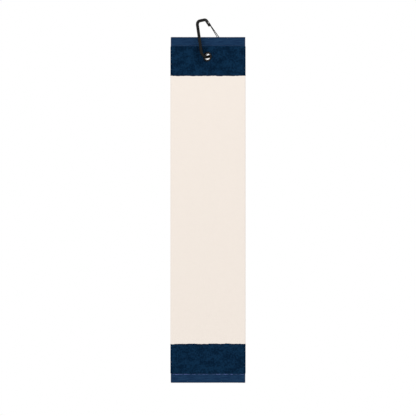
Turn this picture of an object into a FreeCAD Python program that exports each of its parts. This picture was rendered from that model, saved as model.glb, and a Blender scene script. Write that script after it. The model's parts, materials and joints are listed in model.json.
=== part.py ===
import FreeCAD, Part

import math
import os
import re

from FreeCAD import Placement, Rotation, Vector

# Golf towel: a terry towel folded in three lengthwise, with an eyelet through all three layers near
# its top edge and a wire-gate carabiner clipped through the eyelet.
#
# Row frame: +Z up, the towel's front face looks along -Y, +X to the right of someone facing it.
# The origin is where a bag's ring bears on the carabiner, at the top of the inside of its crook.
# Lengths are in millimetres and angles in degrees.

SIZES = {
    # The towel as it hangs, folded in three
    "towel_length": 635.0,
    "folded_width": 137.5,
    "cloth_thickness": 1.65,
    "layer_gap": 0.15,
    "outer_flap_setback": 6.0,
    "inner_flap_setback": 4.0,
    # Dyed end bands, turned hems and their stitching
    "band_height": 71.7,
    "hem_height": 17.0,
    "hem_thickness": 1.2,
    "side_hem_width": 8.0,
    "thread_width": 0.6,
    "thread_height": 0.2,
    "seam_inset": 1.4,
    # Eyelet, its washer, and the twist that the carabiner gives the cloth round them
    "eyelet_drop": 36.1,
    "eyelet_play": 3.2,
    "eyelet_flange": 3.1,
    "eyelet_wall": 0.6,
    "eyelet_dome": 1.5,
    "eyelet_lip": 1.9,
    "washer_width": 2.1,
    "washer_thickness": 0.8,
    "eyelet_tilt": 27.0,
    "flat_round_eyelet": 9.5,
    "twist_reach": 33.0,
    "seat_clearance": 0.05,
    # Carabiner bar and the outline of its centre line
    "bar_width": 5.6,
    "bar_thickness": 4.6,
    "spine_length": 69.0,
    "spine_angle": 15.9,
    "crook_length": 20.1,
    "crook_slope": 10.7,
    "hinge_arm": 14.5,
    "gate_angle": 14.6,
    "basket_slope": 4.0,
    "eyelet_from_corner": 13.6,
    "corner_rise": 0.9,
    "spine_bend": 7.0,
    "hinge_bend": 6.0,
    "eyelet_bend": 12.0,
    "nose_bend": 12.0,
    "carabiner_turn": 34.0,
    "carabiner_lean": 25.7,
    # Wire gate, its pin, and the catch in the nose
    "wire_diameter": 1.4,
    "leg_bend": 12.0,
    "pin_diameter": 1.6,
    "pin_head": 2.6,
    "pin_head_height": 0.35,
    "pin_to_end": 7.3,
    "gate_length": 46.0,
    "running_clearance": 0.05,
    "gate_side_clearance": 0.15,
    "nose_hook": 5.2,
    "catch_depth": 1.65,
}

GRID_PITCH = 4.0
BAR_ROUNDNESS = 0.9
CUT_MARGIN = 5.0
EYE_OPEN = 350.0
EYE_BACK = 220.0

document = FreeCAD.newDocument("golf_towel")
sheet = document.addObject("Spreadsheet::Sheet", "sizes")
for row, (alias, size) in enumerate(SIZES.items(), start=1):
    sheet.set("A%d" % row, alias)
    sheet.set("B%d" % row, str(size))
    sheet.setAlias("B%d" % row, alias)
document.recompute()


def cell(alias):
    """The value of a named cell."""
    return float(sheet.get(alias))


def bind(item, **expressions):
    """Bind properties to the sheet; a double underscore stands for a dot in a property's path."""
    for path, text in expressions.items():
        linked = re.sub("[a-z_]+", lambda word: "sizes." + word[0] if word[0] in SIZES else word[0], text)
        item.setExpression(path.replace("__", "."), linked)
    return item


def helper(kind, name, **expressions):
    """A construction object that a sub-part is built from."""
    return bind(document.addObject(kind, name), **expressions)


def joined(name, pieces):
    """Several construction objects fused into one."""
    fusion = document.addObject("Part::MultiFuse", name)
    fusion.Shapes = pieces
    return fusion


def cut(name, base, tool):
    """One construction object less another."""
    result = document.addObject("Part::Cut", name)
    result.Base = base
    result.Tool = tool
    return result


def coded(name, shape):
    """An object whose shape comes from Part's own functions."""
    feature = document.addObject("Part::Feature", name)
    feature.Shape = shape
    return feature


# ---------------------------------------------------------------- frames and shared places

def in_plane(across, along):
    """A point in the carabiner's own plane, from the eyelet's centre."""
    return Vector(across, 0, along)


def heading(angle):
    """A unit vector in the carabiner's plane, at an angle from its cross direction."""
    return in_plane(math.cos(math.radians(angle)), math.sin(math.radians(angle)))


def bar_corners():
    """Corners of the bar's centre line before they are rounded, from the hinge end to the nose."""
    eyelet_corner = in_plane(-cell("eyelet_from_corner"), cell("corner_rise"))
    spine_corner = eyelet_corner + heading(90 - cell("spine_angle")) * cell("spine_length")
    hinge_corner = spine_corner + heading(-cell("crook_slope")) * cell("crook_length")
    hinge_end = hinge_corner + GATE_HEADING * cell("hinge_arm")
    on_nose_line = hinge_end + GATE_OUTWARD * NOSE_OFFSET
    basket = heading(-cell("basket_slope"))
    run = GATE_HEADING.cross(on_nose_line - eyelet_corner).y / GATE_HEADING.cross(basket).y
    nose_corner = eyelet_corner + basket * run
    nose_reach = cell("gate_length") - cell("pin_to_end") - cell("nose_hook")
    nose_tip = on_nose_line + GATE_HEADING * nose_reach
    return [hinge_end, hinge_corner, spine_corner, eyelet_corner, nose_corner, nose_tip]


def rounded_path(corners, bends):
    """Straight runs between the corners, joined by tangent arcs."""
    edges = []
    start = corners[0]
    for corner, following, bend in zip(corners[1:-1], corners[2:], bends):
        incoming = (corner - start).normalize()
        outgoing = (following - corner).normalize()
        half_turn = incoming.getAngle(outgoing) / 2
        reach = bend * math.tan(half_turn)
        middle = corner + (outgoing - incoming).normalize() * (bend / math.cos(half_turn) - bend)
        edges.append(Part.makeLine(start, corner - incoming * reach))
        edges.append(Part.Arc(corner - incoming * reach, middle, corner + outgoing * reach).toShape())
        start = corner + outgoing * reach
    edges.append(Part.makeLine(start, corners[-1]))
    return Part.Wire(edges)


def ring_seat():
    """Where a hanging ring bears: the highest point inside the bend beside the hinge."""
    hinge_end, hinge_corner, spine_corner = CORNERS[:3]
    incoming = (hinge_corner - hinge_end).normalize()
    outgoing = (spine_corner - hinge_corner).normalize()
    half_turn = incoming.getAngle(outgoing) / 2
    bend = cell("hinge_bend")
    bend_centre = hinge_corner + (outgoing - incoming).normalize() * (bend / math.cos(half_turn))
    return CARABINER_ROTATION.multVec(bend_centre) + Vector(0, 0, bend - cell("bar_width") / 2)


# The wire's eyes go round the pin, its legs leave them on the outer side, and its round end lies in the catch.
WIRE_RADIUS = cell("wire_diameter") / 2
EYE_RADIUS = cell("pin_diameter") / 2 + WIRE_RADIUS + cell("running_clearance")
LEG_OFFSET = WIRE_RADIUS + cell("running_clearance")
LOOP_RADIUS = cell("bar_thickness") / 2 + WIRE_RADIUS + cell("gate_side_clearance")
LOOP_CENTRE_X = cell("gate_length") - LOOP_RADIUS
CATCH_FLOOR = EYE_RADIUS + WIRE_RADIUS + cell("running_clearance")

GATE_HEADING = heading(cell("gate_angle") - 90)
GATE_OUTWARD = heading(cell("gate_angle"))
NOSE_OFFSET = cell("bar_width") / 2 - cell("catch_depth") + CATCH_FLOOR
CORNERS = bar_corners()
BENDS = [cell("hinge_bend"), cell("spine_bend"), cell("eyelet_bend"), cell("nose_bend")]
TURN = Rotation(Vector(0, 0, 1), cell("carabiner_turn"))
CARABINER_ROTATION = TURN.multiply(Rotation(Vector(0, 1, 0), -cell("carabiner_lean")))
EYELET_CENTRE = ring_seat() * -1
CARABINER_FRAME = Placement(EYELET_CENTRE, CARABINER_ROTATION)

# The gate's frame: origin on the pin, X along the closed gate, Y along the pin, Z outwards.
GATE_IN_PLANE = Placement(
    CORNERS[0] - GATE_HEADING * cell("pin_to_end"),
    Rotation(Vector(0, 1, 0), 90 - cell("gate_angle")),
)
GATE_FRAME = CARABINER_FRAME.multiply(GATE_IN_PLANE)

# The towel's frame: origin at the eyelet's centre, on the middle of the three layers.
TOWEL_FRAME = Placement(EYELET_CENTRE, Rotation())
LAYER_PITCH = cell("cloth_thickness") + cell("layer_gap")
HALF_WIDTH = cell("folded_width") / 2
INNER_FOLD_X = HALF_WIDTH - (LAYER_PITCH + cell("cloth_thickness")) / 2
OUTER_FOLD_X = -HALF_WIDTH + LAYER_PITCH + cell("cloth_thickness") / 2
INNER_EDGE_X = OUTER_FOLD_X + cell("inner_flap_setback")
OUTER_EDGE_X = HALF_WIDTH - cell("outer_flap_setback")
TOP_EDGE_Z = cell("eyelet_drop")
BOTTOM_EDGE_Z = TOP_EDGE_Z - cell("towel_length")
FRONT, MIDDLE, BACK = -LAYER_PITCH, 0.0, LAYER_PITCH

# The eyelet's frame: Z along its own axis, out of the front of the towel.
EYELET_AXIS = Rotation(Vector(0, 0, 1), -cell("eyelet_tilt")).multVec(Vector(0, -1, 0))
EYELET_FRAME = Placement(EYELET_CENTRE, Rotation(Vector(0, 0, 1), EYELET_AXIS))
STACK_HALF = (LAYER_PITCH + cell("cloth_thickness") / 2) * math.cos(math.radians(cell("eyelet_tilt")))

# The bore passes the bar's larger side, and the bar crosses the stack of cloth at a slant.
BAR_SLANT = math.radians(90 - cell("carabiner_turn") - cell("eyelet_tilt"))
BAR_PASSED = max(cell("bar_width"), cell("bar_thickness") / math.cos(BAR_SLANT))
BORE = (BAR_PASSED + 2 * STACK_HALF * math.tan(BAR_SLANT) + cell("eyelet_play")) / 2


# ---------------------------------------------------------------- cloth

def twist(x, z):
    """How far the cloth is pushed back by the tilted eyelet, fading out to flat cloth."""
    radius = math.hypot(x, z)
    flat = cell("flat_round_eyelet")
    share = min(max((radius - flat) / (cell("twist_reach") - flat), 0.0), 1.0)
    fade = (1 + math.cos(math.pi * share)) / 2
    return -x * math.tan(math.radians(cell("eyelet_tilt"))) * fade


def steps(low, high):
    """Evenly spaced values from low to high, about a grid pitch apart."""
    count = max(2, math.ceil((high - low) / GRID_PITCH))
    return [low + (high - low) * index / count for index in range(count + 1)]


def cloth_panel(low_x, high_x, low_z, high_z, layer, thickness):
    """A panel of one layer, which follows the twist round the eyelet."""
    front = layer - thickness / 2
    grid = [[Vector(x, front + twist(x, z), z) for z in steps(low_z, high_z)] for x in steps(low_x, high_x)]
    surface = Part.BSplineSurface()
    surface.interpolate(grid)
    return surface.toShape().extrude(Vector(0, thickness, 0))


def side_fold(fold_x, layer, radius, thickness, low_z, high_z, start_angle):
    """Half a tube of cloth, where one layer turns over into another at a side of the towel."""
    base = Vector(fold_x, layer, low_z)
    height = high_z - low_z
    outside = Part.makeCylinder(radius + thickness / 2, height, base, Vector(0, 0, 1), 180)
    inside = Part.makeCylinder(radius - thickness / 2, height, base, Vector(0, 0, 1), 180)
    fold = outside.cut(inside)
    fold.rotate(base, Vector(0, 0, 1), start_angle)
    return fold


def folded_cloth(low_z, high_z, thickness, edge_inset):
    """The towel's cross-section folded in three, between two heights."""
    inner_edge = INNER_EDGE_X + edge_inset
    outer_edge = OUTER_EDGE_X - edge_inset
    front = cloth_panel(OUTER_FOLD_X, INNER_FOLD_X, low_z, high_z, FRONT, thickness)
    inner = cloth_panel(inner_edge, INNER_FOLD_X, low_z, high_z, MIDDLE, thickness)
    outer = cloth_panel(OUTER_FOLD_X, outer_edge, low_z, high_z, BACK, thickness)
    inner_fold = side_fold(INNER_FOLD_X, FRONT / 2, LAYER_PITCH / 2, thickness, low_z, high_z, -90)
    outer_fold = side_fold(OUTER_FOLD_X, MIDDLE, LAYER_PITCH, thickness, low_z, high_z, 90)
    return front.fuse([inner, outer, inner_fold, outer_fold])


def eyelet_hole(shape):
    """Cloth with the hole that the eyelet's barrel fills."""
    radius = BORE + cell("eyelet_wall") + cell("seat_clearance")
    reach = 2 * BORE
    punch = Part.makeCylinder(radius, 2 * reach, EYELET_AXIS * -reach, EYELET_AXIS)
    return shape.cut(punch)


def make_top_band():
    """Navy pile end with the eyelet's hole through its three layers."""
    low = TOP_EDGE_Z - cell("band_height")
    high = TOP_EDGE_Z - cell("hem_height")
    shape = folded_cloth(low, high, cell("cloth_thickness"), cell("side_hem_width"))
    return coded("top_band", eyelet_hole(shape))


def make_top_hem():
    """Flat-woven hem along the towel's top edge."""
    shape = folded_cloth(TOP_EDGE_Z - cell("hem_height"), TOP_EDGE_Z, cell("hem_thickness"), 0)
    return coded("top_hem", shape)


def origin_plane(body, role):
    """One of a body's own origin planes."""
    return next(feature for feature in body.Origin.OriginFeatures if feature.Role == role)


def sketch_on(body, role, edges):
    """A sketch of the given lines and arcs on one of the body's own planes."""
    sketch = body.newObject("Sketcher::SketchObject", body.Name + "_sketch")
    sketch.AttachmentSupport = (origin_plane(body, role), [""])
    sketch.MapMode = "FlatFace"
    for edge in edges:
        sketch.addGeometry(edge)
    return sketch


def outline(stretches):
    """A closed outline. A stretch of one point is a line to it, and one of two is an arc through them."""
    edges = []
    start = stretches[0][-1]
    for stretch in stretches[1:] + stretches[:1]:
        end = stretch[-1]
        if len(stretch) > 1:
            edges.append(Part.Arc(start, *stretch))
        elif not end.isEqual(start, 1e-6):
            edges.append(Part.LineSegment(start, end))
        start = end
    return edges


def folded_outline(thickness, edge_inset):
    """The cross-section of the towel folded in three, from the inner flap's edge round to itself."""
    half = thickness / 2
    inner_edge = INNER_EDGE_X + edge_inset
    outer_edge = OUTER_EDGE_X - edge_inset
    inner_turn = INNER_FOLD_X + LAYER_PITCH / 2
    outer_turn = OUTER_FOLD_X - LAYER_PITCH
    return outline([
        [Vector(inner_edge, MIDDLE - half)],
        [Vector(inner_edge, MIDDLE + half)],
        [Vector(INNER_FOLD_X, MIDDLE + half)],
        [Vector(inner_turn + half, FRONT / 2), Vector(INNER_FOLD_X, FRONT - half)],
        [Vector(OUTER_FOLD_X, FRONT - half)],
        [Vector(outer_turn - half, MIDDLE), Vector(OUTER_FOLD_X, BACK + half)],
        [Vector(outer_edge, BACK + half)],
        [Vector(outer_edge, BACK - half)],
        [Vector(OUTER_FOLD_X, BACK - half)],
        [Vector(outer_turn + half, MIDDLE), Vector(OUTER_FOLD_X, FRONT + half)],
        [Vector(INNER_FOLD_X, FRONT + half)],
        [Vector(inner_turn - half, FRONT / 2), Vector(INNER_FOLD_X, MIDDLE - half)],
    ])


def folded_length(name, low_z, height, thickness, edge_inset):
    """A flat length of the folded towel, whose height is bound to the sheet."""
    body = document.addObject("PartDesign::Body", name)
    section = sketch_on(body, "XY_Plane", folded_outline(thickness, edge_inset))
    pad = body.newObject("PartDesign::Pad", name + "_pad")
    pad.Profile = section
    bind(pad, Length=height)
    body.Placement = Placement(Vector(0, 0, low_z), Rotation())
    return body


def make_centre_cloth():
    """Undyed pile between the two dyed ends."""
    low = BOTTOM_EDGE_Z + cell("band_height")
    height = "towel_length - 2 * band_height"
    return folded_length("centre_cloth", low, height, cell("cloth_thickness"), cell("side_hem_width"))


def make_bottom_band():
    """Navy pile end at the foot of the towel."""
    low = BOTTOM_EDGE_Z + cell("hem_height")
    height = "band_height - hem_height"
    return folded_length("bottom_band", low, height, cell("cloth_thickness"), cell("side_hem_width"))


def make_bottom_hem():
    """Flat-woven hem along the towel's bottom edge."""
    return folded_length("bottom_hem", BOTTOM_EDGE_Z, "hem_height", cell("hem_thickness"), 0)


def upright_strip(name, corner, width, thickness):
    """A strip that runs down the towel between its two end hems."""
    strip = document.addObject("Part::Box", name)
    bind(strip, Length=width, Width=thickness, Height="towel_length - 2 * hem_height")
    strip.Placement.Base = corner + Vector(0, 0, BOTTOM_EDGE_Z + cell("hem_height"))
    return strip


def make_side_hem(name, low_x, layer):
    """The turned edge of one flap."""
    return upright_strip(name, Vector(low_x, layer - cell("hem_thickness") / 2), "side_hem_width", "hem_thickness")


def make_side_stitching(name, low_x, layer):
    """The row of stitches that holds a side hem down."""
    return upright_strip(name, Vector(low_x, layer + cell("hem_thickness") / 2), "thread_width", "thread_height")


def make_end_stitching(name, low_z):
    """Rows of stitches across an end hem, one on the front and one on the back."""
    proud = (cell("hem_thickness") + cell("thread_height")) / 2 + cell("seat_clearance")
    high_z = low_z + cell("thread_width")
    rows = [
        cloth_panel(OUTER_FOLD_X, INNER_FOLD_X, low_z, high_z, FRONT - proud, cell("thread_height")),
        cloth_panel(OUTER_FOLD_X, OUTER_EDGE_X, low_z, high_z, BACK + proud, cell("thread_height")),
    ]
    return coded(name, Part.makeCompound(rows))


# ---------------------------------------------------------------- eyelet and washer

def turned_part(name, profile):
    """A body of revolution about Z from a profile in the XZ plane."""
    body = document.addObject("PartDesign::Body", name)
    section = sketch_on(body, "XZ_Plane", profile)
    revolution = body.newObject("PartDesign::Revolution", name + "_revolution")
    revolution.Profile = section
    revolution.ReferenceAxis = (section, ["V_Axis"])
    return body


def make_eyelet():
    """Domed flange on the front face, a barrel through the cloth, and a lip rolled over the washer."""
    wall = cell("eyelet_wall")
    rim = BORE + cell("eyelet_flange")
    dome = cell("eyelet_dome")
    crown = (BORE + rim) / 2
    seat = STACK_HALF + cell("seat_clearance")
    lip_seat = -seat - cell("washer_thickness") - cell("seat_clearance")
    lip_rim = BORE + cell("eyelet_lip")
    roll = math.sqrt(0.5)
    return turned_part("eyelet", outline([
        [Vector(BORE, seat)],
        [Vector(BORE, lip_seat + wall)],
        [Vector(BORE + 2 * wall * (1 - roll), lip_seat + wall * (1 - 2 * roll)),
         Vector(BORE + 2 * wall, lip_seat - wall)],
        [Vector(lip_rim, lip_seat - wall)],
        [Vector(lip_rim, lip_seat)],
        [Vector(BORE + wall, lip_seat)],
        [Vector(BORE + wall, seat)],
        [Vector(crown, seat + dome - wall), Vector(rim - wall, seat)],
        [Vector(rim, seat)],
        [Vector(crown, seat + dome), Vector(BORE, seat)],
    ]))


def make_eyelet_washer():
    """Ring on the back face, clamped by the eyelet's rolled lip."""
    bore = BORE + cell("eyelet_wall") + cell("seat_clearance")
    rim = bore + cell("washer_width")
    top = -STACK_HALF - cell("seat_clearance")
    bottom = top - cell("washer_thickness")
    rounding = cell("washer_thickness") / 2
    return turned_part("eyelet_washer", outline([
        [Vector(bore, top)],
        [Vector(bore, bottom)],
        [Vector(rim - rounding, bottom)],
        [Vector(rim, bottom + rounding), Vector(rim - rounding, top)],
    ]))


# ---------------------------------------------------------------- carabiner and gate

def bar_section():
    """The bar's rounded section, flat across the carabiner's plane."""
    half_width = cell("bar_width") / 2
    half_thickness = cell("bar_thickness") / 2
    rounding = BAR_ROUNDNESS * min(half_width, half_thickness)
    flat_x = half_width - rounding
    flat_y = half_thickness - rounding
    roll = rounding * math.sqrt(0.5)
    edges = outline([
        [Vector(half_width, flat_y)],
        [Vector(flat_x + roll, flat_y + roll), Vector(flat_x, half_thickness)],
        [Vector(-flat_x, half_thickness)],
        [Vector(-flat_x - roll, flat_y + roll), Vector(-half_width, flat_y)],
        [Vector(-half_width, -flat_y)],
        [Vector(-flat_x - roll, -flat_y - roll), Vector(-flat_x, -half_thickness)],
        [Vector(flat_x, -half_thickness)],
        [Vector(flat_x + roll, -flat_y - roll), Vector(half_width, -flat_y)],
    ])
    return Part.Wire([edge.toShape() for edge in edges])


def swept(name, path, section, direction):
    """A solid made by carrying a section along a path that starts in the given direction."""
    spine = coded(name + "_path", path)
    profile = coded(name + "_section", section)
    profile.Placement = Placement(path.Edges[0].Vertexes[0].Point, Rotation(Vector(), Vector(0, 1, 0), direction))
    sweep = document.addObject("Part::Sweep", name)
    sweep.Sections = [profile]
    sweep.Spine = (spine, ["Edge%d" % (index + 1) for index in range(len(path.Edges))])
    sweep.Solid = True
    return sweep


def gate_cutter(name, low_x, width, thickness, low_z, height):
    """A box in the gate's frame, for a slot or notch in the bar."""
    cutter = document.addObject("Part::Box", name)
    cutter.Length = width
    cutter.Width = thickness
    cutter.Height = height
    corner = Placement(Vector(low_x, -thickness / 2, low_z), Rotation())
    cutter.Placement = GATE_IN_PLANE.multiply(corner)
    return cutter


def make_carabiner_body():
    """Bent bar, forked for the gate at its hinge end and notched for it at its nose."""
    bar = swept("bar", rounded_path(CORNERS, BENDS), bar_section(), GATE_HEADING * -1)
    deep = cell("bar_width")
    fork_back = EYE_RADIUS + cell("wire_diameter")
    fork_width = 2 * (LEG_OFFSET + WIRE_RADIUS + cell("gate_side_clearance"))
    fork_length = fork_back + cell("pin_to_end") + CUT_MARGIN
    fork = gate_cutter("fork_slot", -fork_back, fork_length, fork_width, -deep, 2 * deep)
    loop_inside = LOOP_RADIUS - WIRE_RADIUS
    catch_x = LOOP_CENTRE_X + math.sqrt(loop_inside ** 2 - (cell("bar_thickness") / 2) ** 2)
    catch_end = cell("gate_length") + WIRE_RADIUS + cell("gate_side_clearance")
    catch = gate_cutter("nose_catch", catch_x, catch_end - catch_x, 2 * deep, CATCH_FLOOR - 2 * deep, 2 * deep)
    pin_hole = helper("Part::Cylinder", "pin_hole", Radius="pin_diameter / 2", Height="2 * bar_width")
    across = Placement(Vector(0, -deep, 0), Rotation(Vector(0, 0, 1), Vector(0, 1, 0)))
    pin_hole.Placement = GATE_IN_PLANE.multiply(across)
    tools = joined("bar_cuts", [fork, catch, pin_hole])
    return cut("carabiner_body", bar, tools)


def make_gate_pin():
    """Rivet across the fork, with a low head on each side."""
    half = cell("bar_thickness") / 2
    shank = cell("pin_diameter") / 2
    head = cell("pin_head") / 2
    top = half + cell("pin_head_height")
    return turned_part("gate_pin", outline([
        [Vector(0, -top)],
        [Vector(shank, -top)],
        [Vector(head, -half)],
        [Vector(shank, -half)],
        [Vector(shank, half)],
        [Vector(head, half)],
        [Vector(shank, top)],
        [Vector(0, top)],
    ]))


def on_eye(angle, offset):
    """A point on one eye's centre line, at an angle round the pin."""
    turn = math.radians(angle)
    return Vector(EYE_RADIUS * math.cos(turn), offset, EYE_RADIUS * math.sin(turn))


def gate_leg(side):
    """One leg's centre line, from the open end of its eye to where it meets the round end of the loop."""
    splay_x = cell("pin_to_end") + cell("wire_diameter")
    run = LOOP_CENTRE_X - splay_x
    splay = math.asin(LOOP_RADIUS / math.hypot(run, LEG_OFFSET)) - math.atan2(LEG_OFFSET, run)
    offset = side * LEG_OFFSET
    touch_x = LOOP_CENTRE_X - LOOP_RADIUS * math.sin(splay)
    touch = Vector(touch_x, side * LOOP_RADIUS * math.cos(splay), EYE_RADIUS)
    eye = Part.Arc(on_eye(EYE_OPEN, offset), on_eye(EYE_BACK, offset), on_eye(90, offset)).toShape()
    corners = [on_eye(90, offset), Vector(splay_x, offset, EYE_RADIUS), touch]
    return [eye] + rounded_path(corners, [cell("leg_bend")]).Edges, touch


def make_wire_gate():
    """One loop of wire: two legs that spread towards the nose, each ending in an eye on the pin."""
    leg, touch = gate_leg(1)
    other_leg, other_touch = gate_leg(-1)
    round_end = Part.Arc(touch, Vector(cell("gate_length"), 0, EYE_RADIUS), other_touch).toShape()
    path = Part.Wire(leg + [round_end] + other_leg[::-1])
    section = Part.Wire([Part.makeCircle(WIRE_RADIUS)])
    turn = math.radians(EYE_OPEN)
    return swept("wire_gate", path, section, Vector(math.sin(turn), 0, -math.cos(turn)))


# ---------------------------------------------------------------- the whole towel

def placed(item, frame):
    """A finished sub-part, moved from its own frame to the row's."""
    item.Placement = frame.multiply(item.Placement)
    return item


def make_towel():
    """The cloth, its hems and its stitching."""
    side_seam = cell("side_hem_width") - cell("seam_inset")
    end_seam = cell("hem_height") - cell("seam_inset")
    return [
        make_top_band(),
        make_centre_cloth(),
        make_bottom_band(),
        make_top_hem(),
        make_bottom_hem(),
        make_side_hem("inner_side_hem", INNER_EDGE_X, MIDDLE),
        make_side_hem("outer_side_hem", OUTER_EDGE_X - cell("side_hem_width"), BACK),
        make_side_stitching("inner_side_stitching", INNER_EDGE_X + side_seam, MIDDLE),
        make_side_stitching("outer_side_stitching", OUTER_EDGE_X - side_seam, BACK),
        make_end_stitching("top_hem_stitching", TOP_EDGE_Z - end_seam),
        make_end_stitching("bottom_hem_stitching", BOTTOM_EDGE_Z + end_seam),
    ]


PIN_FRAME = GATE_FRAME.multiply(Placement(Vector(), Rotation(Vector(0, 0, 1), Vector(0, 1, 0))))
sub_parts = [placed(item, TOWEL_FRAME) for item in make_towel()]
sub_parts += [placed(make_eyelet(), EYELET_FRAME), placed(make_eyelet_washer(), EYELET_FRAME)]
sub_parts.append(placed(make_carabiner_body(), CARABINER_FRAME))
sub_parts.append(placed(make_gate_pin(), PIN_FRAME))
sub_parts.append(placed(make_wire_gate(), GATE_FRAME))
document.recompute()

for item in document.Objects:
    if "Invalid" in item.State or "Error" in item.State:
        raise RuntimeError("%s failed: %s" % (item.Name, item.State))
for item in sub_parts:
    item.Label = item.Name
    if item.Shape.isNull() or not item.Shape.isValid():
        raise RuntimeError("%s has no valid shape" % item.Label)

os.makedirs("parts", exist_ok=True)
for item in sub_parts:
    item.Shape.exportStep("parts/%s.step" % item.Label)
    print("%-24s volume %9.1f mm3, solids %d" % (item.Label, item.Shape.Volume, len(item.Shape.Solids)))
print("eyelet centre", EYELET_CENTRE)
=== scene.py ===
import json
import math
import random

import bpy
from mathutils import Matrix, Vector, noise


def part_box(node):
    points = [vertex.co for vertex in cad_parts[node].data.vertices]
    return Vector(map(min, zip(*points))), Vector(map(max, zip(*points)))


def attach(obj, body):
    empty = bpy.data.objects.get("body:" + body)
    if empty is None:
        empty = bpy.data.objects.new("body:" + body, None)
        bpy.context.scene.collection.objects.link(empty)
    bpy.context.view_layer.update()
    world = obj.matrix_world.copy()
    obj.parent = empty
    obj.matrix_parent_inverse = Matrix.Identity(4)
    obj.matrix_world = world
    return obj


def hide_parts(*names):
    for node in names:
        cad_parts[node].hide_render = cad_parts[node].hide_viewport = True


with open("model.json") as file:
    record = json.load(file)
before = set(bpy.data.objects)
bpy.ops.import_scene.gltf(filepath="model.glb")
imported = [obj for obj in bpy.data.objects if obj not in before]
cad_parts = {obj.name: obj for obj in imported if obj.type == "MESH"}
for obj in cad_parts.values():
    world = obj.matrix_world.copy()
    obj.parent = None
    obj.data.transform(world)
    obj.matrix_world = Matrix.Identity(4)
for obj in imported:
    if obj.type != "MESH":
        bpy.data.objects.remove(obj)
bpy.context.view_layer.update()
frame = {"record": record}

# Golf towel: the cloth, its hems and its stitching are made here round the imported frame. The
# carabiner, its gate and pin, and the eyelet and washer are the CAD's own, with better materials.
# Everything is in metres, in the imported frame's axes: the towel's front faces -Y and +Z is up.

MM = 0.001
JOINTS = {joint["name"]: joint for joint in frame["record"]["behaviour"]["joints"]}

# ---------------------------------------------------------------- places taken from the frame

EYELET = Vector(JOINTS["towel_swing"]["pos_m"])
EYELET_AXIS = Vector(JOINTS["towel_swing"]["axis"])
EYELET_SLOPE = EYELET_AXIS.x / EYELET_AXIS.y
CLOTH_LOW, CLOTH_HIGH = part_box("centre_cloth")
TOP_HEM_LOW, TOP_HEM_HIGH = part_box("top_hem")
BOTTOM_HEM_LOW, BOTTOM_HEM_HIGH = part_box("bottom_hem")
INNER_HEM_LOW, INNER_HEM_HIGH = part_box("inner_side_hem")
OUTER_HEM_LOW, OUTER_HEM_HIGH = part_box("outer_side_hem")
WASHER_LOW, WASHER_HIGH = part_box("eyelet_washer")
INNER_EDGE_X = INNER_HEM_LOW.x
OUTER_EDGE_X = OUTER_HEM_HIGH.x
PILE_TOP_Z = TOP_HEM_LOW.z
PILE_BOTTOM_Z = BOTTOM_HEM_HIGH.z
COLOUR_CHANGES = (CLOTH_HIGH.z, CLOTH_LOW.z)

# ---------------------------------------------------------------- the cloth's layers and folds

FRONT, MIDDLE, BACK = 0, 1, 2
PILE = 1.6 * MM
WEAVE = 1.15 * MM
PITCH = (CLOTH_HIGH.y - CLOTH_LOW.y - PILE) / 2
MIDDLE_Y = (CLOTH_HIGH.y + CLOTH_LOW.y) / 2
PUFF = 0.6 * MM
PUFF_FADE = 11 * MM
INNER_PUFF = 0.3
RIGHT_BEND = (PITCH + (1 + INNER_PUFF) * PUFF) / 2
LEFT_BEND = PITCH + PUFF
RIGHT_X = CLOTH_HIGH.x - RIGHT_BEND - PILE / 2
LEFT_X = CLOTH_LOW.x + LEFT_BEND + PILE / 2
BEND_STEPS = 12

# The eyelet tilts the cloth round it, squeezes its pile and passes through its hole.
TWIST_FLAT = 9.5 * MM
TWIST_REACH = 33 * MM
WASHER_RIM = 2.1 * MM
HOLE_RADIUS = (WASHER_HIGH.z - WASHER_LOW.z) / 2 - WASHER_RIM
HOLE_REACH = 3 * MM
SQUEEZE_RADIUS = 8 * MM
SQUEEZE_FADE = 5 * MM
SQUEEZE_SHARE = 0.3

# The mesh is finest at the cloth's edges and round the eyelet.
EYELET_PATCH = 20 * MM
PATCH_STEP = 1.1 * MM
NARROW_STEP = 1.3 * MM
WIDE_STEP = 2.6 * MM
END_STEP = 1.2 * MM
FOOT_STEP = 1.6 * MM
EDGE_ROWS = [0, 0.15 * MM, 0.4 * MM, 0.8 * MM, 1.4 * MM]

# The surface: tufts, fuller outside than inside the folds, thinner at seams and turned edges.
FUZZ = 0.05 * MM
LOFT = 0.35 * MM
SEAM_DIP = 0.35 * MM
SEAM_DIP_REACH = 1.2 * MM
THINNEST_RIM = 0.18

# The uneven lines between colours: waves per metre along them, and each wave's height in mm.
SLOW_WOBBLE = 70
SLOW_WOBBLE_HEIGHT = 0.75
QUICK_WOBBLE = 330
QUICK_WOBBLE_HEIGHT = 0.5

# How the cloth hangs: the slack it starts with, in waves per metre across and down.
SLACK = 1.6 * MM
WIDE_WAVES = (9, 4)
NARROW_WAVES = (24, 9)
NARROW_SHARE = 0.4
SETTLE_MARGIN = 1 * MM
SETTLE_COLUMN = 4 * MM
SETTLE_ROW = 6 * MM
SETTLE_FRAMES = 60
SETTLE_GRAVITY = 0.1
SETTLE_CLOTH = {
    "quality": 6,
    "mass": 0.001,
    "tension_stiffness": 40,
    "compression_stiffness": 40,
    "shear_stiffness": 20,
    "bending_stiffness": 6,
    "air_damping": 5,
}
DRAPE_GAIN = 1.6
MOST_DRAPE = 5 * MM

# ---------------------------------------------------------------- stitches and shading

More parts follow.
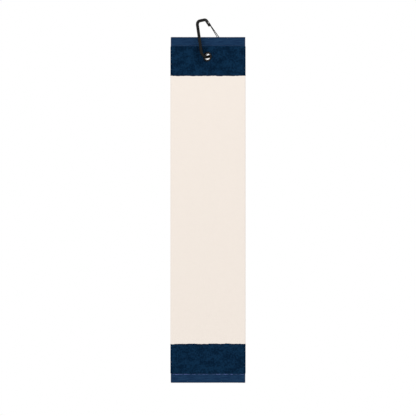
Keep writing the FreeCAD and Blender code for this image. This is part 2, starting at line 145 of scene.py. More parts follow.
STITCH = 2.9 * MM
STITCH_GAP = 0.04
STITCH_RISE = 0.30 * MM
THREAD_RADIUS = 0.38 * MM
THREAD_SINK = 0.5
THREAD_STEPS = 6
THREAD_SIDES = 6
SEAM_INSET = 1.4 * MM
THREAD_PITCH = 0.7 * MM
PLY_PITCH = 0.35 * MM
# Widths and shares of the painted shade at the folds and the hems' turned edges, and of the colour at the
# colour changes.
FOLD_SHADE = 3.2 * MM
SEAM_SHADE = 2.2 * MM
EDGE_SHADE = 5 * MM
PILE_FOLD_SHARE = 0.9
PILE_SEAM_SHARE = 0.8
WEAVE_EDGE_SHARE = 0.9
WEAVE_FOLD_SHARE = 0.8


def clamp(value, low, high):
    """The value, kept between two limits."""
    return min(max(value, low), high)


def smooth(value):
    """A smooth step from 0 to 1."""
    value = clamp(value, 0.0, 1.0)
    return value * value * (3 - 2 * value)


def between(first, second, share):
    """A value a share of the way from one to another."""
    return first * (1 - share) + second * share


def spaced(low, high, step):
    """Evenly spaced values from low to high, no more than a step apart."""
    count = max(1, math.ceil(abs(high - low) / step))
    return [low + (high - low) * index / count for index in range(count + 1)]


def grid_cells(width, height):
    """The four corners of each cell of a grid whose points are numbered row by row."""
    starts = [row * width + column for row in range(height - 1) for column in range(width - 1)]
    return [[start, start + 1, start + width + 1, start + width] for start in starts]


def linked(name, mesh):
    """A new object with this mesh, in the scene."""
    item = bpy.data.objects.new(name, mesh)
    bpy.context.scene.collection.objects.link(item)
    return item


# ---------------------------------------------------------------- how the cloth hangs

def from_eyelet(x, z):
    """The distance from the eyelet's centre, seen from the front."""
    return math.hypot(x - EYELET.x, z - EYELET.z)


def near_eyelet(x, z):
    """1 under the eyelet's flange, where the pile is squeezed flat, fading to 0 outside it."""
    return 1 - smooth((from_eyelet(x, z) - SQUEEZE_RADIUS) / SQUEEZE_FADE)


def twist(x, z):
    """How far the tilted eyelet pushes the cloth back, fading out to flat cloth."""
    share = clamp((from_eyelet(x, z) - TWIST_FLAT) / (TWIST_REACH - TWIST_FLAT), 0.0, 1.0)
    return -(x - EYELET.x) * EYELET_SLOPE * (1 + math.cos(math.pi * share)) / 2


def waves(x, z, scales, seed):
    """Smooth noise with so many waves per metre across and down."""
    return noise.noise(Vector((x * scales[0], seed, z * scales[1])))


def slack(x, z):
    """The slow waves that the cloth has before it is hung."""
    return SLACK * (waves(x, z, WIDE_WAVES, 0.3) + NARROW_SHARE * waves(x, z, NARROW_WAVES, 1.7))


SETTLE_X = spaced(CLOTH_LOW.x - SETTLE_MARGIN, CLOTH_HIGH.x + SETTLE_MARGIN, SETTLE_COLUMN)
SETTLE_Z = spaced(TOP_HEM_HIGH.z + SETTLE_MARGIN, BOTTOM_HEM_LOW.z - SETTLE_MARGIN, SETTLE_ROW)


def hanging_sheet(places, starts):
    """One sheet with its points at these places, and the cloth modifier that holds it at the eyelet."""
    mesh = bpy.data.meshes.new("settling")
    points = [(x, y, z) for (x, z), y in zip(places, starts)]
    mesh.from_pydata(points, [], grid_cells(len(SETTLE_X), len(SETTLE_Z)))
    sheet = linked("settling", mesh)
    pinned = [index for index, (x, z) in enumerate(places) if from_eyelet(x, z) < TWIST_FLAT]
    sheet.vertex_groups.new(name="held").add(pinned, 1.0, "REPLACE")
    cloth = sheet.modifiers.new("cloth", "CLOTH")
    for setting, value in SETTLE_CLOTH.items():
        setattr(cloth.settings, setting, value)
    cloth.settings.vertex_group_mass = "held"
    cloth.settings.effector_weights.gravity = SETTLE_GRAVITY
    cloth.collision_settings.use_collision = False
    cloth.point_cache.frame_end = SETTLE_FRAMES
    return sheet


def settle_sheet():
    """Hangs one sheet from the eyelet by cloth simulation; how far back each point then is."""
    places = [(x, z) for z in SETTLE_Z for x in SETTLE_X]
    starts = [twist(x, z) + slack(x, z) for x, z in places]
    sheet = hanging_sheet(places, starts)
    for step in range(1, SETTLE_FRAMES + 1):
        bpy.context.scene.frame_set(step)
    settled = sheet.evaluated_get(bpy.context.evaluated_depsgraph_get()).to_mesh()
    result = [vertex.co.y for vertex in settled.vertices]
    bpy.data.objects.remove(sheet)
    bpy.context.scene.frame_set(1)
    return result


SETTLED = settle_sheet()


def drape(x, z):
    """How far the hung cloth is from flat, still at the carabiner and free towards the foot."""
    width = len(SETTLE_X)
    across = (x - SETTLE_X[0]) / (SETTLE_X[-1] - SETTLE_X[0]) * (width - 1)
    down = (z - SETTLE_Z[0]) / (SETTLE_Z[-1] - SETTLE_Z[0]) * (len(SETTLE_Z) - 1)
    column = clamp(int(across), 0, width - 2)
    row = clamp(int(down), 0, len(SETTLE_Z) - 2)
    corner = row * width + column
    above = between(SETTLED[corner], SETTLED[corner + 1], across - column)
    below = between(SETTLED[corner + width], SETTLED[corner + width + 1], across - column)
    moved = clamp(between(above, below, down - row) - twist(x, z), -MOST_DRAPE, MOST_DRAPE)
    fall = (TOP_HEM_HIGH.z - z) / (TOP_HEM_HIGH.z - BOTTOM_HEM_LOW.z)
    return smooth(fall * DRAPE_GAIN) * moved


# ---------------------------------------------------------------- the folded sheet

def layer_y(layer, x):
    """The middle of one layer's thickness, a little fuller beside the two folds."""
    right = math.exp((x - RIGHT_X) / PUFF_FADE)
    left = math.exp((LEFT_X - x) / PUFF_FADE)
    if layer == FRONT:
        return MIDDLE_Y - PITCH - PUFF * (right + left)
    if layer == MIDDLE:
        return MIDDLE_Y + INNER_PUFF * PUFF * right
    return MIDDLE_Y + PITCH + PUFF * (left + INNER_PUFF * right)


def panel_columns(low, high):
    """Columns across a panel, closer together where the eyelet passes through it."""
    patch_low = EYELET.x - EYELET_PATCH
    patch_high = EYELET.x + EYELET_PATCH
    if not low < patch_low < patch_high < high:
        return spaced(low, high, NARROW_STEP)
    left = spaced(low, patch_low, WIDE_STEP)
    centre = spaced(patch_low, patch_high, PATCH_STEP)
    right = spaced(patch_high, high, WIDE_STEP)
    return left[:-1] + centre[:-1] + right


def panel(layer, low, high, facing):
    """Columns of a flat panel: (x, y, normal x, normal y)."""
    return [(x, layer_y(layer, x), 0.0, facing) for x in panel_columns(low, high)]


def bend(centre_x, top_y, radius, start, turn):
    """Columns of a fold that turns one layer over into another."""
    centre_y = top_y - radius
    columns = []
    for index in range(1, BEND_STEPS):
        angle = start + turn * index / BEND_STEPS
        columns.append((centre_x + radius * math.cos(angle), centre_y + radius * math.sin(angle),
                        math.cos(angle), math.sin(angle)))
    return columns


def folded_columns(inner_x, outer_x):
    """The sheet's cross-section from the inner flap's edge, round both folds, to the outer flap's edge."""
    inner = panel(MIDDLE, inner_x, RIGHT_X, 1.0)
    right = bend(RIGHT_X, layer_y(MIDDLE, RIGHT_X), RIGHT_BEND, math.pi / 2, -math.pi)
    front = panel(FRONT, LEFT_X, RIGHT_X, -1.0)[::-1]
    left = bend(LEFT_X, layer_y(BACK, LEFT_X), LEFT_BEND, -math.pi / 2, -math.pi)
    outer = panel(BACK, LEFT_X, outer_x, 1.0)
    return inner + right + front + left + outer


def lengths_along(columns):
    """The distance of each column from the first, along the cloth."""
    along = [0.0]
    for before, after in zip(columns, columns[1:]):
        along.append(along[-1] + math.hypot(after[0] - before[0], after[1] - before[1]))
    return along


def rows(high, low, step):
    """Heights down a region as shares of it, with close rows at both of its ends."""
    length = high - low
    inside = spaced(EDGE_ROWS[-1], length - EDGE_ROWS[-1], step)
    heights = EDGE_ROWS[:-1] + inside + [length - value for value in EDGE_ROWS[-2::-1]]
    return [value / length for value in heights]


def wobble(position, seed):
    """The uneven line along which one colour or weave of the sheet meets the next."""
    slow = noise.noise(Vector((position * SLOW_WOBBLE, seed, 0.5)))
    quick = noise.noise(Vector((position * QUICK_WOBBLE, seed, 2.5)))
    return (SLOW_WOBBLE_HEIGHT * slow + QUICK_WOBBLE_HEIGHT * quick) * MM


def rim_share(distance, thickness):
    """How full the cloth is near a turned edge, which is rounded like half a tube."""
    inside = max(1 - distance / (thickness / 2), 0.0)
    return max(math.sqrt(max(1 - inside * inside, 0.0)), THINNEST_RIM)


def thickness_at(thickness, fuzz, ends, sides):
    """The cloth's thickness, given each end's kind and each side's turn, with the distance to it."""
    full = thickness
    for kind, distance in ends:
        if kind == "turned":
            full *= rim_share(distance, thickness)
    for kind, distance in ends:
        if kind == "wavy" or fuzz and kind == "joint":
            full -= SEAM_DIP * (1 - smooth(distance / SEAM_DIP_REACH))
    for turned, distance in sides:
        if turned:
            full *= rim_share(distance, thickness)
    return full


def build_cloth(name, columns, high, low, thickness, fuzz, ends, seeds, step=WIDE_STEP, sides=(False, False)):
    """A closed mesh of cloth between two heights.

    Each of the two ends, higher then lower, is "joint" where the cloth goes on, "wavy" where it
    meets another colour, and "turned" where it is a rounded edge. sides tells whether the first
    and last columns are turned edges.
    """
    shares = rows(high, low, step)
    along = lengths_along(columns)
    inner_count = sum(1 for _, y, _, facing in columns if facing == 1.0 and abs(y - MIDDLE_Y) < PITCH / 2)
    random.seed(seeds[0])
    front, back, radii = [], [], []
    for share in shares:
        for column, (x, y, normal_x, normal_y) in enumerate(columns):
            top = high + (wobble(along[column], seeds[0]) if ends[0] == "wavy" else 0)
            foot = low + (wobble(along[column], seeds[1]) if ends[1] == "wavy" else 0)
            z = top + (foot - top) * share
            squeeze = near_eyelet(x, z)
            full = thickness_at(thickness, fuzz, ((ends[0], top - z), (ends[1], z - foot)),
                                ((sides[0], along[column]), (sides[1], along[-1] - along[column])))
            full *= 1 - SQUEEZE_SHARE * squeeze
            rough = fuzz * (1 - squeeze) * random.uniform(-1, 1)
            loft = LOFT * (1 - squeeze) if fuzz and column > inner_count else 0
            centre = Vector((x, y + (twist(x, z) + drape(x, z)), z))
            normal = Vector((normal_x, normal_y, 0))
            front.append(centre + normal * (full / 2 + rough + loft))
            back.append(centre - normal * (full / 2))
            radii.append(from_eyelet(x, z))
    cells = [cell for cell in grid_cells(len(columns), len(shares))
             if min(radii[corner] for corner in cell) > HOLE_RADIUS]
    return close_cloth(name, front, back, cells, radii, along)


def free_edges(cells):
    """The edges that only one cell has."""
    edges = {}
    for cell in cells:
        for start, end in zip(cell, cell[1:] + cell[:1]):
            key = (min(start, end), max(start, end))
            edges[key] = None if key in edges else (start, end)
    return [pair for pair in edges.values() if pair]


def close_cloth(name, front, back, cells, radii, along):
    """Joins the two faces of the cloth round every free edge, and rounds the eyelet's hole."""
    rim = free_edges(cells)
    for corner in {corner for pair in rim for corner in pair}:
        if radii[corner] < HOLE_RADIUS + HOLE_REACH:
            for side in (front, back):
                point = side[corner]
                out = Vector((point.x - EYELET.x, 0, point.z - EYELET.z))
                side[corner] = point + out * (HOLE_RADIUS / out.length - 1)
    count = len(front)
    faces = [tuple(cell) for cell in cells]
    faces += [tuple(corner + count for corner in reversed(cell)) for cell in cells]
    faces += [(end, start, start + count, end + count) for start, end in rim]
    used = sorted({corner for face in faces for corner in face})
    place = {corner: index for index, corner in enumerate(used)}
    points = front + back
    mesh = bpy.data.meshes.new(name)
    mesh.from_pydata([points[corner] for corner in used], [],
                     [[place[corner] for corner in face] for face in faces])
    mesh.update()
    flat_map = mesh.uv_layers.new(name="cloth")
    for loop in mesh.loops:
        corner = used[loop.vertex_index] % count
        flat_map.data[loop.index].uv = (along[corner % len(along)], points[corner].z)
    for polygon in mesh.polygons:
        polygon.use_smooth = True
    return linked(name, mesh)


# ---------------------------------------------------------------- stitching

def thread_stitch(points, faces, start, end, outward):
    """One stitch: a short thread that rises out of the cloth and dips back into it."""
    run = end - start
    across = run.normalized().cross(outward)
    first = len(points)
    for index in range(THREAD_STEPS + 1):
        share = index / THREAD_STEPS
        rise = STITCH_RISE * math.sin(math.pi * share) - THREAD_RADIUS * THREAD_SINK
        centre = start + run * share + outward * rise
        for side in range(THREAD_SIDES):
            angle = 2 * math.pi * side / THREAD_SIDES
            points.append(centre + across * THREAD_RADIUS * math.cos(angle)
                          + outward * THREAD_RADIUS * math.sin(angle))
    for index in range(THREAD_STEPS):
        for side in range(THREAD_SIDES):
            after = (side + 1) % THREAD_SIDES
            low = first + index * THREAD_SIDES
            high = low + THREAD_SIDES
            faces.append((low + side, low + after, high + after, high + side))
    last = first + THREAD_STEPS * THREAD_SIDES
    faces.append(tuple(first + side for side in reversed(range(THREAD_SIDES))))
    faces.append(tuple(last + side for side in range(THREAD_SIDES)))


def stitch_row(name, line):
    """A row of stitches along a line, which is a list of (point, outward) a stitch apart."""
    points, faces = [], []
    for (start, outward), (end, _) in zip(line, line[1:]):
        gap = (end - start) * STITCH_GAP
        thread_stitch(points, faces, start + gap, end - gap, outward)
    mesh = bpy.data.meshes.new(name)
    mesh.from_pydata(points, [], faces)
    for polygon in mesh.polygons:
        polygon.use_smooth = True
    return linked(name, mesh)


def line_round(columns, z):
    """A line of stitches along the sheet's outer face, round its folds."""
    line = []
    wait = 0.0
    for before, after in zip(columns, columns[1:]):
        run = math.hypot(after[0] - before[0], after[1] - before[1])
        while wait <= run:
            share = wait / run
            x, y, normal_x, normal_y = (a + (b - a) * share for a, b in zip(before, after))
            outward = Vector((normal_x, normal_y, 0)).normalized()
            middle = Vector((x, y + twist(x, z) + drape(x, z), z))
            line.append((middle + outward * WEAVE / 2, outward))
            wait += STITCH
        wait -= run
    return line


def line_down(layer, x):
    """A line of stitches down the back of a layer, from one hem to the other."""
    line = []
    for z in spaced(PILE_TOP_Z, PILE_BOTTOM_Z, STITCH):
        y = layer_y(layer, x) + twist(x, z) + drape(x, z) + WEAVE / 2
        line.append((Vector((x, y, z)), Vector((0, 1, 0))))
    return line


# ---------------------------------------------------------------- material nodes

def add(tree, kind, values, **settings):
    """A node with its settings, and its inputs set or linked by name or number."""
    item = tree.nodes.new(kind)
    for key, value in settings.items():
        setattr(item, key, value)
    for key, value in values.items():
        if isinstance(value, bpy.types.NodeSocket):
            tree.links.new(value, item.inputs[key])
        else:
            item.inputs[key].default_value = value
    return item


def calc(tree, operation, first, second=0.0):
    """The result of one sum."""
    return add(tree, "ShaderNodeMath", {0: first, 1: second}, operation=operation).outputs[0]


def weighted(tree, first, first_share, second, second_share):
    """Two values added, each times its share."""
    return calc(tree, "ADD", calc(tree, "MULTIPLY", first, first_share),
                calc(tree, "MULTIPLY", second, second_share))


def mixed(tree, share, first, second):
    """One colour passing into another."""
    return add(tree, "ShaderNodeMix", {0: share, 6: first, 7: second}, data_type="RGBA").outputs[2]


def grain(tree, place, scale, detail=2.0, rough=0.5):
    """Noise between 0 and 1 whose grains are 1/scale metres across."""
    values = {"Vector": place, "Scale": scale, "Detail": detail, "Roughness": rough}
    return add(tree, "ShaderNodeTexNoise", values).outputs[0]


def spread(tree, value, low, high, to_low=0.0, to_high=1.0):
    """A value stretched smoothly from one range to another."""
    values = {0: value, 1: low, 2: high, 3: to_low, 4: to_high}
    return add(tree, "ShaderNodeMapRange", values, interpolation_type="SMOOTHSTEP").outputs[0]


def close_to(tree, value, place, width):
    """1 where the value is at a place, fading to 0 a width away."""
    away = calc(tree, "ABSOLUTE", calc(tree, "SUBTRACT", value, place))
    return spread(tree, away, 0.0, width, 1.0, 0.0)


def coloured_at(tree, base, colour, value, place, width, most):
    """A colour that passes most of the way into another where the value is at a place."""
    return mixed(tree, calc(tree, "MULTIPLY", close_to(tree, value, place, width), most), base, colour)


def stretched(tree, place, x, y, z):
    """A place with each of its directions scaled."""
    return add(tree, "ShaderNodeVectorMath", {0: place, 1: (x, y, z)}, operation="MULTIPLY").outputs[0]


def separated(tree, place):
    """The x, y and z of a place."""
    return add(tree, "ShaderNodeSeparateXYZ", {0: place}).outputs


def start_material(name, **shader):
    """A new material, its node tree, its shader, and the node of places on the object in metres."""
    material = bpy.data.materials.new(name)
    material.use_nodes = True
    tree = material.node_tree
    principled = next(item for item in tree.nodes if item.type == "BSDF_PRINCIPLED")
    for key, value in shader.items():
        principled.inputs[key.replace("_", " ")].default_value = value
    coordinates = tree.nodes.new("ShaderNodeTexCoord")
    return material, tree, principled, coordinates


def bump(tree, shader, height, distance, strength=1.0):
    """Gives the shader a bump of a height from 0 to 1 times a distance in metres."""
    values = {"Height": height, "Distance": distance, "Strength": strength}
    item = add(tree, "ShaderNodeBump", values)
    tree.links.new(item.outputs[0], shader.inputs["Normal"])


def rgb(red, green, blue):
    """An opaque colour, in linear light."""
    return (red, green, blue, 1.0)


def velour(name, colour, deep, fold_shade, edge_colour, sheen, tint, relief):
    """Cut pile: soft mottling where it is brushed different ways, fine tufts, painted shade at the folds."""
    material, tree, shader, coordinates = start_material(
        name, Roughness=0.95, Specular_IOR_Level=0.0,
        Sheen_Weight=sheen, Sheen_Roughness=0.6, Sheen_Tint=tint)
    place = coordinates.outputs["Object"]
    axes = separated(tree, place)
    brushed = grain(tree, stretched(tree, place, 55, 55, 95), 1.0, 4.0, 0.6)
    patches = grain(tree, place, 330, 2.0)
    tufts = grain(tree, place, 1500, 3.0, 0.7)
    mottle = weighted(tree, weighted(tree, brushed, 0.42, patches, 0.43), 1.0, tufts, 0.15)
    base = mixed(tree, spread(tree, mottle, 0.42, 0.58), deep, colour)
    # Painted shade: the pile passes into its fold colour near both folds, where it turns away from the light.
    sides = calc(tree, "MAXIMUM", close_to(tree, axes[0], CLOTH_LOW.x, FOLD_SHADE),
                 close_to(tree, axes[0], CLOTH_HIGH.x, FOLD_SHADE))
    base = mixed(tree, calc(tree, "MULTIPLY", sides, PILE_FOLD_SHARE), base, fold_shade)
    # Near each colour change the pile passes towards edge_colour: painted shade on the navy, where the pile
    # dips at the seam, and a paler line on the cream.
    for height in COLOUR_CHANGES:
        base = coloured_at(tree, base, edge_colour, axes[2], height, SEAM_SHADE, PILE_SEAM_SHARE)
    tree.links.new(base, shader.inputs["Base Color"])
    bump(tree, shader, weighted(tree, tufts, 0.7, patches, 0.5), 0.5 * MM, relief)
    return material


def woven_height(tree, flat_place):
    """Plain weave: threads in both directions, each going over and under the other."""
    axes = separated(tree, flat_place)
    warp = calc(tree, "SINE", calc(tree, "MULTIPLY", axes[0], math.pi / THREAD_PITCH))
    weft = calc(tree, "SINE", calc(tree, "MULTIPLY", axes[1], math.pi / THREAD_PITCH))
    over = calc(tree, "GREATER_THAN", calc(tree, "MULTIPLY", warp, weft), 0.0)
    warp_top = calc(tree, "MULTIPLY", calc(tree, "ABSOLUTE", warp), over)
    weft_top = calc(tree, "MULTIPLY", calc(tree, "ABSOLUTE", weft), calc(tree, "SUBTRACT", 1.0, over))
    return calc(tree, "ADD", warp_top, weft_top)


def gap_shaded_colour(tree, deep_share, patches, colours):
    """A colour that is the deeper one in its gaps, which is painted shade, and, in patches, elsewhere."""
    colour, deep = colours
    return mixed(tree, deep_share, mixed(tree, patches, deep, colour), deep)


def two_part_colour(tree, height, deep_share, patches, colours, end_colours):
    """The middle's colours, and the end colours above and below the two colour changes, if any."""
    base = gap_shaded_colour(tree, deep_share, patches, colours)
    if not end_colours:
        return base
    above = calc(tree, "GREATER_THAN", height, COLOUR_CHANGES[0])
    below = calc(tree, "LESS_THAN", height, COLOUR_CHANGES[1])
    ends = calc(tree, "ADD", above, below)
    return mixed(tree, ends, base, gap_shaded_colour(tree, deep_share, patches, end_colours))


def flat_weave(name, colours, end_colours=None):
    """Flat-woven cloth: its colour and a deeper one, and another pair for the towel's two ends. The deeper
    one gives streaks, and painted shade in the gaps, at the turned edges and beside the folds.
    """
    material, tree, shader, coordinates = start_material(name, Roughness=0.8, Specular_IOR_Level=0.03)
    place = coordinates.outputs["Object"]
    axes = separated(tree, place)
    height = woven_height(tree, coordinates.outputs["UV"])
    streaks = spread(tree, grain(tree, stretched(tree, place, 60, 60, 700), 1.0, 3.0), 0.3, 0.7)
    # Painted shade: the gaps between the threads take the deeper colour.
    gaps = spread(tree, height, 0.0, 0.9, 0.35, 0.0)
    base = two_part_colour(tree, axes[2], gaps, streaks, colours, end_colours)
    # Painted shade: the weave passes into its deeper colour at the hems' turned edges and beside the folds.
    for level in (TOP_HEM_HIGH.z, BOTTOM_HEM_LOW.z):
        base = coloured_at(tree, base, colours[1], axes[2], level, EDGE_SHADE, WEAVE_EDGE_SHARE)
    for side in (CLOTH_LOW.x, CLOTH_HIGH.x):
        base = coloured_at(tree, base, colours[1], axes[0], side, FOLD_SHADE, WEAVE_FOLD_SHARE)
    tree.links.new(base, shader.inputs["Base Color"])
    fuzz = grain(tree, place, 2600, 2.0)
    bump(tree, shader, calc(tree, "ADD", height, calc(tree, "MULTIPLY", fuzz, 0.5)), 0.16 * MM, 0.8)
    return material


def sewing_thread(name, colours, end_colours=None):
    """Spun thread with a slight gloss and the slant of its plies, and painted shade in the grooves between
    them.
    """
    material, tree, shader, coordinates = start_material(name, Roughness=0.55, Specular_IOR_Level=0.15)
    place = coordinates.outputs["Object"]
    axes = separated(tree, place)
    slant = calc(tree, "ADD", axes[0], calc(tree, "MULTIPLY", axes[2], 1.4))
    plies = calc(tree, "ABSOLUTE", calc(tree, "SINE", calc(tree, "MULTIPLY", slant, math.pi / PLY_PITCH)))
    fade = spread(tree, grain(tree, place, 240, 3.0), 0.35, 0.65)
    grooves = spread(tree, plies, 0.0, 0.5, 0.5, 0.0)
    base = two_part_colour(tree, axes[2], grooves, fade, colours, end_colours)
    tree.links.new(base, shader.inputs["Base Color"])
    bump(tree, shader, plies, 0.08 * MM)
    return material


def metal(name, colour, wear_and_highlight, rub_and_highlight_place, rub_and_highlight_reach, finish, brushed):
    """Finished metal: fine scratches, uneven gloss, and paler where it is rubbed and on its edges; on the
    eyelet these pale places are also painted highlight.
    """
    material, tree, shader, coordinates = start_material(name, **finish)
    place = coordinates.outputs["Object"]
    smudges = grain(tree, place, 120, 4.0, 0.6)
    scratches = grain(tree, stretched(tree, place, *brushed), 1.0, 3.0, 0.6)
    # Paler near the rub place: wear; round the eyelet's barrel it is also a painted highlight of the lit
    # inner wall.
    gap = add(tree, "ShaderNodeVectorMath", {0: place, 1: rub_and_highlight_place}, operation="DISTANCE").outputs["Value"]
    near = spread(tree, gap, 0.0, rub_and_highlight_reach, 1.0, 0.0)
    rubbed_and_lit = calc(tree, "MULTIPLY", near, spread(tree, scratches, 0.4, 0.7))
    # Paler on convex edges: edge wear, and on the eyelet also a painted highlight along its rim.
    pointed = tree.nodes.new("ShaderNodeNewGeometry").outputs["Pointiness"]
    edges = spread(tree, pointed, 0.53, 0.6, 0.0, 0.35)
    wear_and_highlight_share = calc(tree, "MAXIMUM", rubbed_and_lit, calc(tree, "MULTIPLY", edges, spread(tree, smudges, 0.4, 0.6)))
    tree.links.new(mixed(tree, wear_and_highlight_share, colour, wear_and_highlight), shader.inputs["Base Color"])
    low = finish["Roughness"]
    rough = spread(tree, calc(tree, "ADD", smudges, scratches), 0.7, 1.3, low * 0.8, low * 1.3)
    tree.links.new(rough, shader.inputs["Roughness"])
    bump(tree, shader, scratches, 0.012 * MM, 0.5)
    return material


# ---------------------------------------------------------------- the towel's materials

CREAM = rgb(0.784, 0.713, 0.650)
CREAM_DEEP = rgb(0.779, 0.708, 0.645)
# Painted shade at the cream pile's folds.
CREAM_FOLD_SHADE = rgb(0.770, 0.700, 0.640)
CREAM_PALE = rgb(0.806, 0.742, 0.683)
CREAM_SHEEN = rgb(1, 0.97, 0.93)
NAVY = rgb(0.0046, 0.0230, 0.0560)
NAVY_DEEP = rgb(0.0020, 0.0105, 0.0280)
# Painted shade at the navy pile's folds.
NAVY_FOLD_SHADE = rgb(0.0006, 0.0050, 0.0210)
# Painted shade on the navy pile at the colour changes.
NAVY_SEAM_SHADE = rgb(0.0014, 0.0090, 0.0300)
NAVY_SHEEN = rgb(0.3, 0.5, 0.9)
HEM_NAVY = rgb(0.0135, 0.0440, 0.1000)
HEM_DEEP = rgb(0.0055, 0.0215, 0.0620)
THREAD_DARK = rgb(0.0130, 0.0340, 0.0850)
# Painted highlight: the bottom hem's stitches, lit where the hem's top edge catches the light.
THREAD_PAINTED_HIGHLIGHT = rgb(0.1500, 0.1900, 0.4700)

velour_navy = velour("velour_navy", NAVY, NAVY_DEEP, NAVY_FOLD_SHADE, NAVY_SEAM_SHADE,
                     sheen=0.004, tint=NAVY_SHEEN, relief=0.8)
velour_cream = velour("velour_cream", CREAM, CREAM_DEEP, CREAM_FOLD_SHADE, CREAM_PALE,
                      sheen=0.12, tint=CREAM_SHEEN, relief=0.25)
weave_navy = flat_weave("weave_navy", (HEM_NAVY, HEM_DEEP))
weave_sides = flat_weave("weave_sides", (CREAM, CREAM_DEEP), (HEM_NAVY, HEM_DEEP))
thread_top = sewing_thread("thread_top", (THREAD_DARK, HEM_DEEP))
# The bottom stitches are a lit copy of the navy thread: painted highlight.
thread_bottom_lit = sewing_thread("thread_bottom_lit", (THREAD_PAINTED_HIGHLIGHT, THREAD_DARK))
thread_sides = sewing_thread("thread_sides", (CREAM_PALE, CREAM_DEEP), (THREAD_DARK, HEM_DEEP))

# ---------------------------------------------------------------- the hardware's materials

BAR_BLACK = rgb(0.0040, 0.0036, 0.0030)
BAR_WORN = rgb(0.05, 0.05, 0.052)
WIRE_BLACK = rgb(0.006, 0.006, 0.006)
WIRE_WORN = rgb(0.06, 0.058, 0.055)
STEEL = rgb(0.42, 0.41, 0.40)
STEEL_WORN = rgb(0.62, 0.61, 0.60)
GUNMETAL = rgb(0.022, 0.020, 0.019)
# Pale tan round the eyelet's barrel: rub wear and a painted highlight of the lit inner wall.
GUNMETAL_WEAR_AND_HIGHLIGHT = rgb(0.30, 0.27, 0.25)
ANODISED = dict(Metallic=0.0, Roughness=0.24, Specular_IOR_Level=0.13, Coat_Weight=0.04, Coat_Roughness=0.1)
WIRE_FINISH = dict(Metallic=0.0, Roughness=0.32, Specular_IOR_Level=0.08)
PIN_FINISH = dict(Metallic=1.0, Roughness=0.3)
EYELET_FINISH = dict(Metallic=1.0, Roughness=0.27)
RING_PLACE = (0.0, 0.0, 0.0)

anodised = metal("anodised_black", BAR_BLACK, BAR_WORN, RING_PLACE, rub_and_highlight_reach=9 * MM,
                 finish=ANODISED, brushed=(900, 900, 220))
gate_black = metal("gate_wire_black", WIRE_BLACK, WIRE_WORN, RING_PLACE, rub_and_highlight_reach=5 * MM,
                   finish=WIRE_FINISH, brushed=(1200, 1200, 150))
pin_steel = metal("pin_steel", STEEL, STEEL_WORN, RING_PLACE, rub_and_highlight_reach=5 * MM,
                  finish=PIN_FINISH, brushed=(1500, 1500, 1500))
gunmetal = metal("eyelet_gunmetal", GUNMETAL, GUNMETAL_WEAR_AND_HIGHLIGHT, tuple(EYELET), rub_and_highlight_reach=6.4 * MM,
                 finish=EYELET_FINISH, brushed=(700, 700, 700))

# ---------------------------------------------------------------- the pieces

pile_columns = folded_columns(INNER_HEM_HIGH.x, OUTER_HEM_LOW.x)
hem_columns = folded_columns(INNER_EDGE_X, OUTER_EDGE_X)
inner_columns = panel(MIDDLE, INNER_EDGE_X, INNER_HEM_HIGH.x, 1.0)
outer_columns = panel(BACK, OUTER_HEM_LOW.x, OUTER_EDGE_X, 1.0)

pile_top = build_cloth("pile_top", pile_columns, PILE_TOP_Z, CLOTH_HIGH.z, PILE, FUZZ,
                       ends=("joint", "wavy"), seeds=(11, 12), step=END_STEP)
pile_centre = build_cloth("pile_centre", pile_columns, CLOTH_HIGH.z, CLOTH_LOW.z, PILE, FUZZ,
                          ends=("wavy", "wavy"), seeds=(12, 13))
pile_bottom = build_cloth("pile_bottom", pile_columns, CLOTH_LOW.z, PILE_BOTTOM_Z, PILE, FUZZ,
                          ends=("wavy", "joint"), seeds=(13, 14), step=FOOT_STEP)
hem_top = build_cloth("hem_top", hem_columns, TOP_HEM_HIGH.z, PILE_TOP_Z, WEAVE, 0,
                      ends=("turned", "joint"), seeds=(15, 16), step=END_STEP)
hem_bottom = build_cloth("hem_bottom", hem_columns, PILE_BOTTOM_Z, BOTTOM_HEM_LOW.z, WEAVE, 0,
                         ends=("joint", "turned"), seeds=(17, 18), step=END_STEP)
hem_inner = build_cloth("hem_inner_side", inner_columns, PILE_TOP_Z, PILE_BOTTOM_Z, WEAVE, 0,
                        ends=("joint", "joint"), seeds=(19, 20), sides=(True, False))
hem_outer = build_cloth("hem_outer_side", outer_columns, PILE_TOP_Z, PILE_BOTTOM_Z, WEAVE, 0,
                        ends=("joint", "joint"), seeds=(21, 22), sides=(False, True))

stitches_top = stitch_row("stitches_top", line_round(hem_columns, PILE_TOP_Z + SEAM_INSET))
stitches_bottom = stitch_row("stitches_bottom", line_round(hem_columns, PILE_BOTTOM_Z - SEAM_INSET))
stitches_inner = stitch_row("stitches_inner", line_down(MIDDLE, INNER_HEM_HIGH.x - SEAM_INSET))
stitches_outer = stitch_row("stitches_outer", line_down(BACK, OUTER_HEM_LOW.x + SEAM_INSET))

FINISHES = [
    (pile_top, velour_navy, "navy_pile", "top_band"),
    (pile_centre, velour_cream, "cream_pile", "centre_cloth"),
    (pile_bottom, velour_navy, "navy_pile", "bottom_band"),
    (hem_top, weave_navy, "navy_weave", "top_hem"),
    (hem_bottom, weave_navy, "navy_weave", "bottom_hem"),
    (hem_inner, weave_sides, "cream_weave", "inner_side_hem"),
    (hem_outer, weave_sides, "cream_weave", "outer_side_hem"),
    (stitches_top, thread_top, "navy_thread", "top_hem_stitching"),
    (stitches_bottom, thread_bottom_lit, "navy_thread", "bottom_hem_stitching"),
    (stitches_inner, thread_sides, "cream_thread", "inner_side_stitching"),
    (stitches_outer, thread_sides, "cream_thread", "outer_side_stitching"),
]
for piece, material, slot, node in FINISHES:
    piece.data.materials.append(material)
    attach(piece, "towel")
    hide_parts(node)

HARDWARE = {
    "carabiner_body": anodised,
    "wire_gate": gate_black,
    "gate_pin": pin_steel,
    "eyelet": gunmetal,
    "eyelet_washer": gunmetal,
}
for node, material in HARDWARE.items():
    for slot in bpy.data.objects[node].material_slots:
        slot.material = material

# ---------------------------------------------------------------- studio

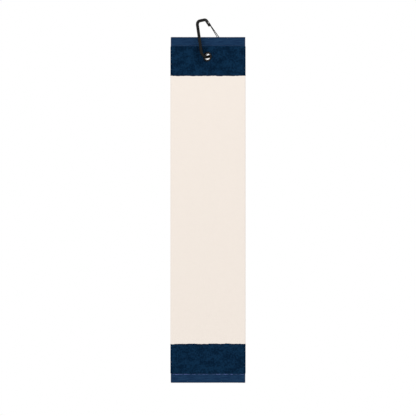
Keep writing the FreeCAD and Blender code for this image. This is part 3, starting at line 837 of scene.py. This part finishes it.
CENTRE_X = (CLOTH_LOW.x + CLOTH_HIGH.x) / 2
VIEW_HEIGHT = 0.7640
VIEW_DROP = 0.2779
VIEW_CENTRE_Z = EYELET.z - VIEW_DROP
LENS = 100
SENSOR = 36
CAMERA_DISTANCE = VIEW_HEIGHT * LENS / SENSOR
FLOOR_DROP = 0.28
FLOOR_Z = BOTTOM_HEM_LOW.z - FLOOR_DROP
FLOOR_SIDES = 96
FLOOR_PALE = rgb(0.86, 0.86, 0.86)
FLOOR_PALER = rgb(0.88, 0.88, 0.88)
LIGHT_AIM = (CENTRE_X, 0, VIEW_CENTRE_Z * 0.6)


def aimed(item, place, target):
    """Puts an object at a place, facing a target."""
    item.location = place
    item.rotation_euler = (Vector(target) - Vector(place)).to_track_quat("-Z", "Y").to_euler()
    bpy.context.scene.collection.objects.link(item)


def soft_light(name, place, size, power):
    """A square light of a size in metres and a power in watts, facing the towel."""
    light = bpy.data.lights.new(name, "AREA")
    light.size = size
    light.energy = power
    aimed(bpy.data.objects.new(name, light), place, LIGHT_AIM)


def round_floor():
    """A pale round floor, 1 m in radius, below the camera's view."""
    mesh = bpy.data.meshes.new("floor")
    angles = [2 * math.pi * side / FLOOR_SIDES for side in range(FLOOR_SIDES)]
    rim = [(math.cos(angle) + CENTRE_X, math.sin(angle), FLOOR_Z) for angle in angles]
    mesh.from_pydata(rim, [], [tuple(range(FLOOR_SIDES))])
    floor = linked("floor", mesh)
    material, tree, shader, coordinates = start_material("floor_pale", Roughness=0.9)
    tone = spread(tree, grain(tree, coordinates.outputs["Object"], 12, 3.0), 0.3, 0.7)
    tree.links.new(mixed(tree, tone, FLOOR_PALE, FLOOR_PALER), shader.inputs["Base Color"])
    mesh.materials.append(material)


round_floor()
soft_light("key", (-1.1, -2.2, 0.8), size=1.4, power=9)
soft_light("top_strip", (0.1, -0.5, 1.3), size=0.3, power=5)
soft_light("back", (0.9, 2.2, 0.8), size=1.4, power=8)

world = bpy.data.worlds.new("studio")
world.use_nodes = True
world.node_tree.nodes["Background"].inputs["Color"].default_value = rgb(1, 1, 1)
world.node_tree.nodes["Background"].inputs["Strength"].default_value = 1.0
bpy.context.scene.world = world
bpy.context.scene.view_settings.view_transform = "Standard"

camera_data = bpy.data.cameras.new("camera")
camera_data.lens = LENS
camera_data.sensor_width = SENSOR
camera = bpy.data.objects.new("camera", camera_data)
aimed(camera, (CENTRE_X, CLOTH_LOW.y - CAMERA_DISTANCE, VIEW_CENTRE_Z), (CENTRE_X, 0, VIEW_CENTRE_Z))
bpy.context.scene.camera = camera
